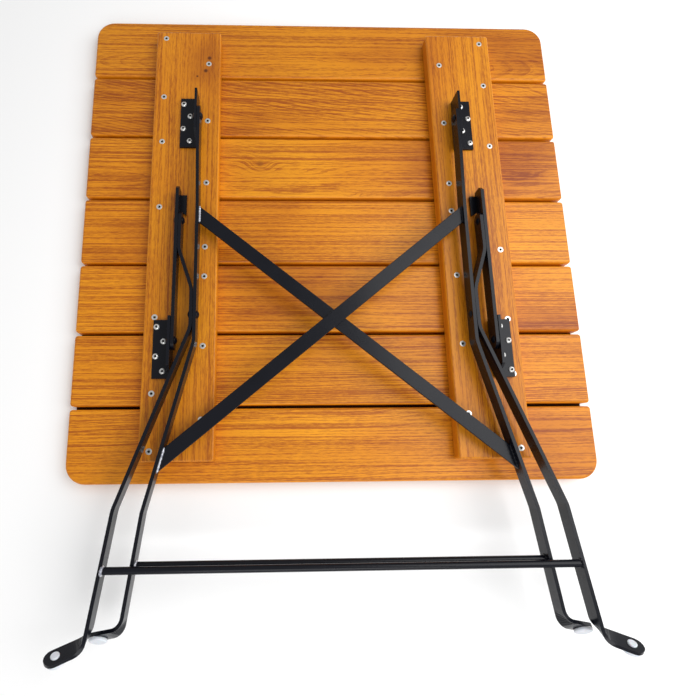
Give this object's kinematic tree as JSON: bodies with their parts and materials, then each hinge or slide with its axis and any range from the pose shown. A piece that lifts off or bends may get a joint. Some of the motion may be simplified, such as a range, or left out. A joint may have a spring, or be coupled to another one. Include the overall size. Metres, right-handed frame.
{
  "type": "folding table",
  "caption": "Square slatted wooden table top with a black flat-steel scissor frame that folds flat against its underside.",
  "frame": {"origin": "centre of the table top's outer face, which lies face down on z = 0 with the frame folded above it", "axes": "+X along the boards, +Y across the boards away from the folded feet, +Z out of the underside of the top"},
  "size_m": [0.8, 1.0164, 0.1003],
  "materials": {
    "board": "oiled honey-coloured softwood with open grain and knots",
    "batten": "oiled honey-coloured softwood with open grain and knots",
    "black_steel": "satin black powder coat",
    "zinc": "bright zinc-plated steel",
    "white_plastic": "plain white moulded plastic"
  },
  "bodies": {
    "top": {"slat_1": "board", "slat_2": "board", "slat_3": "board", "slat_4": "board", "slat_5": "board", "slat_6": "board", "slat_7": "board", "batten_left": "batten", "batten_right": "batten", "batten_screws_left": "zinc", "batten_screws_right": "zinc", "leg_bracket_left": "black_steel", "leg_bracket_right": "black_steel", "link_bracket_left": "black_steel", "link_bracket_right": "black_steel", "bracket_screws_left": "zinc", "bracket_screws_right": "zinc", "bracket_rivets_left": "black_steel", "bracket_rivets_right": "black_steel"},
    "inner_frame": {"inner_leg_left": "black_steel", "inner_leg_right": "black_steel", "lower_brace": "black_steel", "upper_brace": "black_steel", "inner_stretcher": "black_steel", "scissor_rivets": "black_steel", "inner_glides": "white_plastic", "inner_glide_pins": "white_plastic"},
    "outer_frame": {"outer_leg_left": "black_steel", "outer_leg_right": "black_steel", "outer_stretcher": "black_steel", "knee_rivet_tails": "black_steel", "outer_glides": "white_plastic", "outer_glide_pins": "white_plastic"},
    "left_link": {"link_left": "black_steel", "stop_tab_left": "black_steel", "knee_rivet_left": "black_steel"},
    "right_link": {"link_right": "black_steel", "stop_tab_right": "black_steel", "knee_rivet_right": "black_steel"}
  },
  "joints": [
    {"name": "unfold", "type": "hinge", "parent": "top", "child": "inner_frame", "pos_m": [0, 0.18, 0.064], "axis": [-1, 0, 0], "range_deg": [0, 57.81]},
    {"name": "scissor", "type": "hinge", "parent": "inner_frame", "child": "outer_frame", "pos_m": [0, -0.154, 0.064], "axis": [-1, 0, 0], "range_deg": [0, 65.12]},
    {"name": "left_link_swing", "type": "hinge", "parent": "top", "child": "left_link", "pos_m": [0, -0.193, 0.062], "axis": [1, 0, 0], "range_deg": [0, 56.18]},
    {"name": "right_link_swing", "type": "hinge", "parent": "top", "child": "right_link", "pos_m": [0, -0.193, 0.062], "axis": [1, 0, 0], "range_deg": [0, 56.18]}
  ],
  "couplings": [
    {"joint": "scissor", "follows": "unfold", "ratio": 1.1265},
    {"joint": "left_link_swing", "follows": "unfold", "ratio": 0.97181},
    {"joint": "right_link_swing", "follows": "unfold", "ratio": 0.97181}
  ]
}
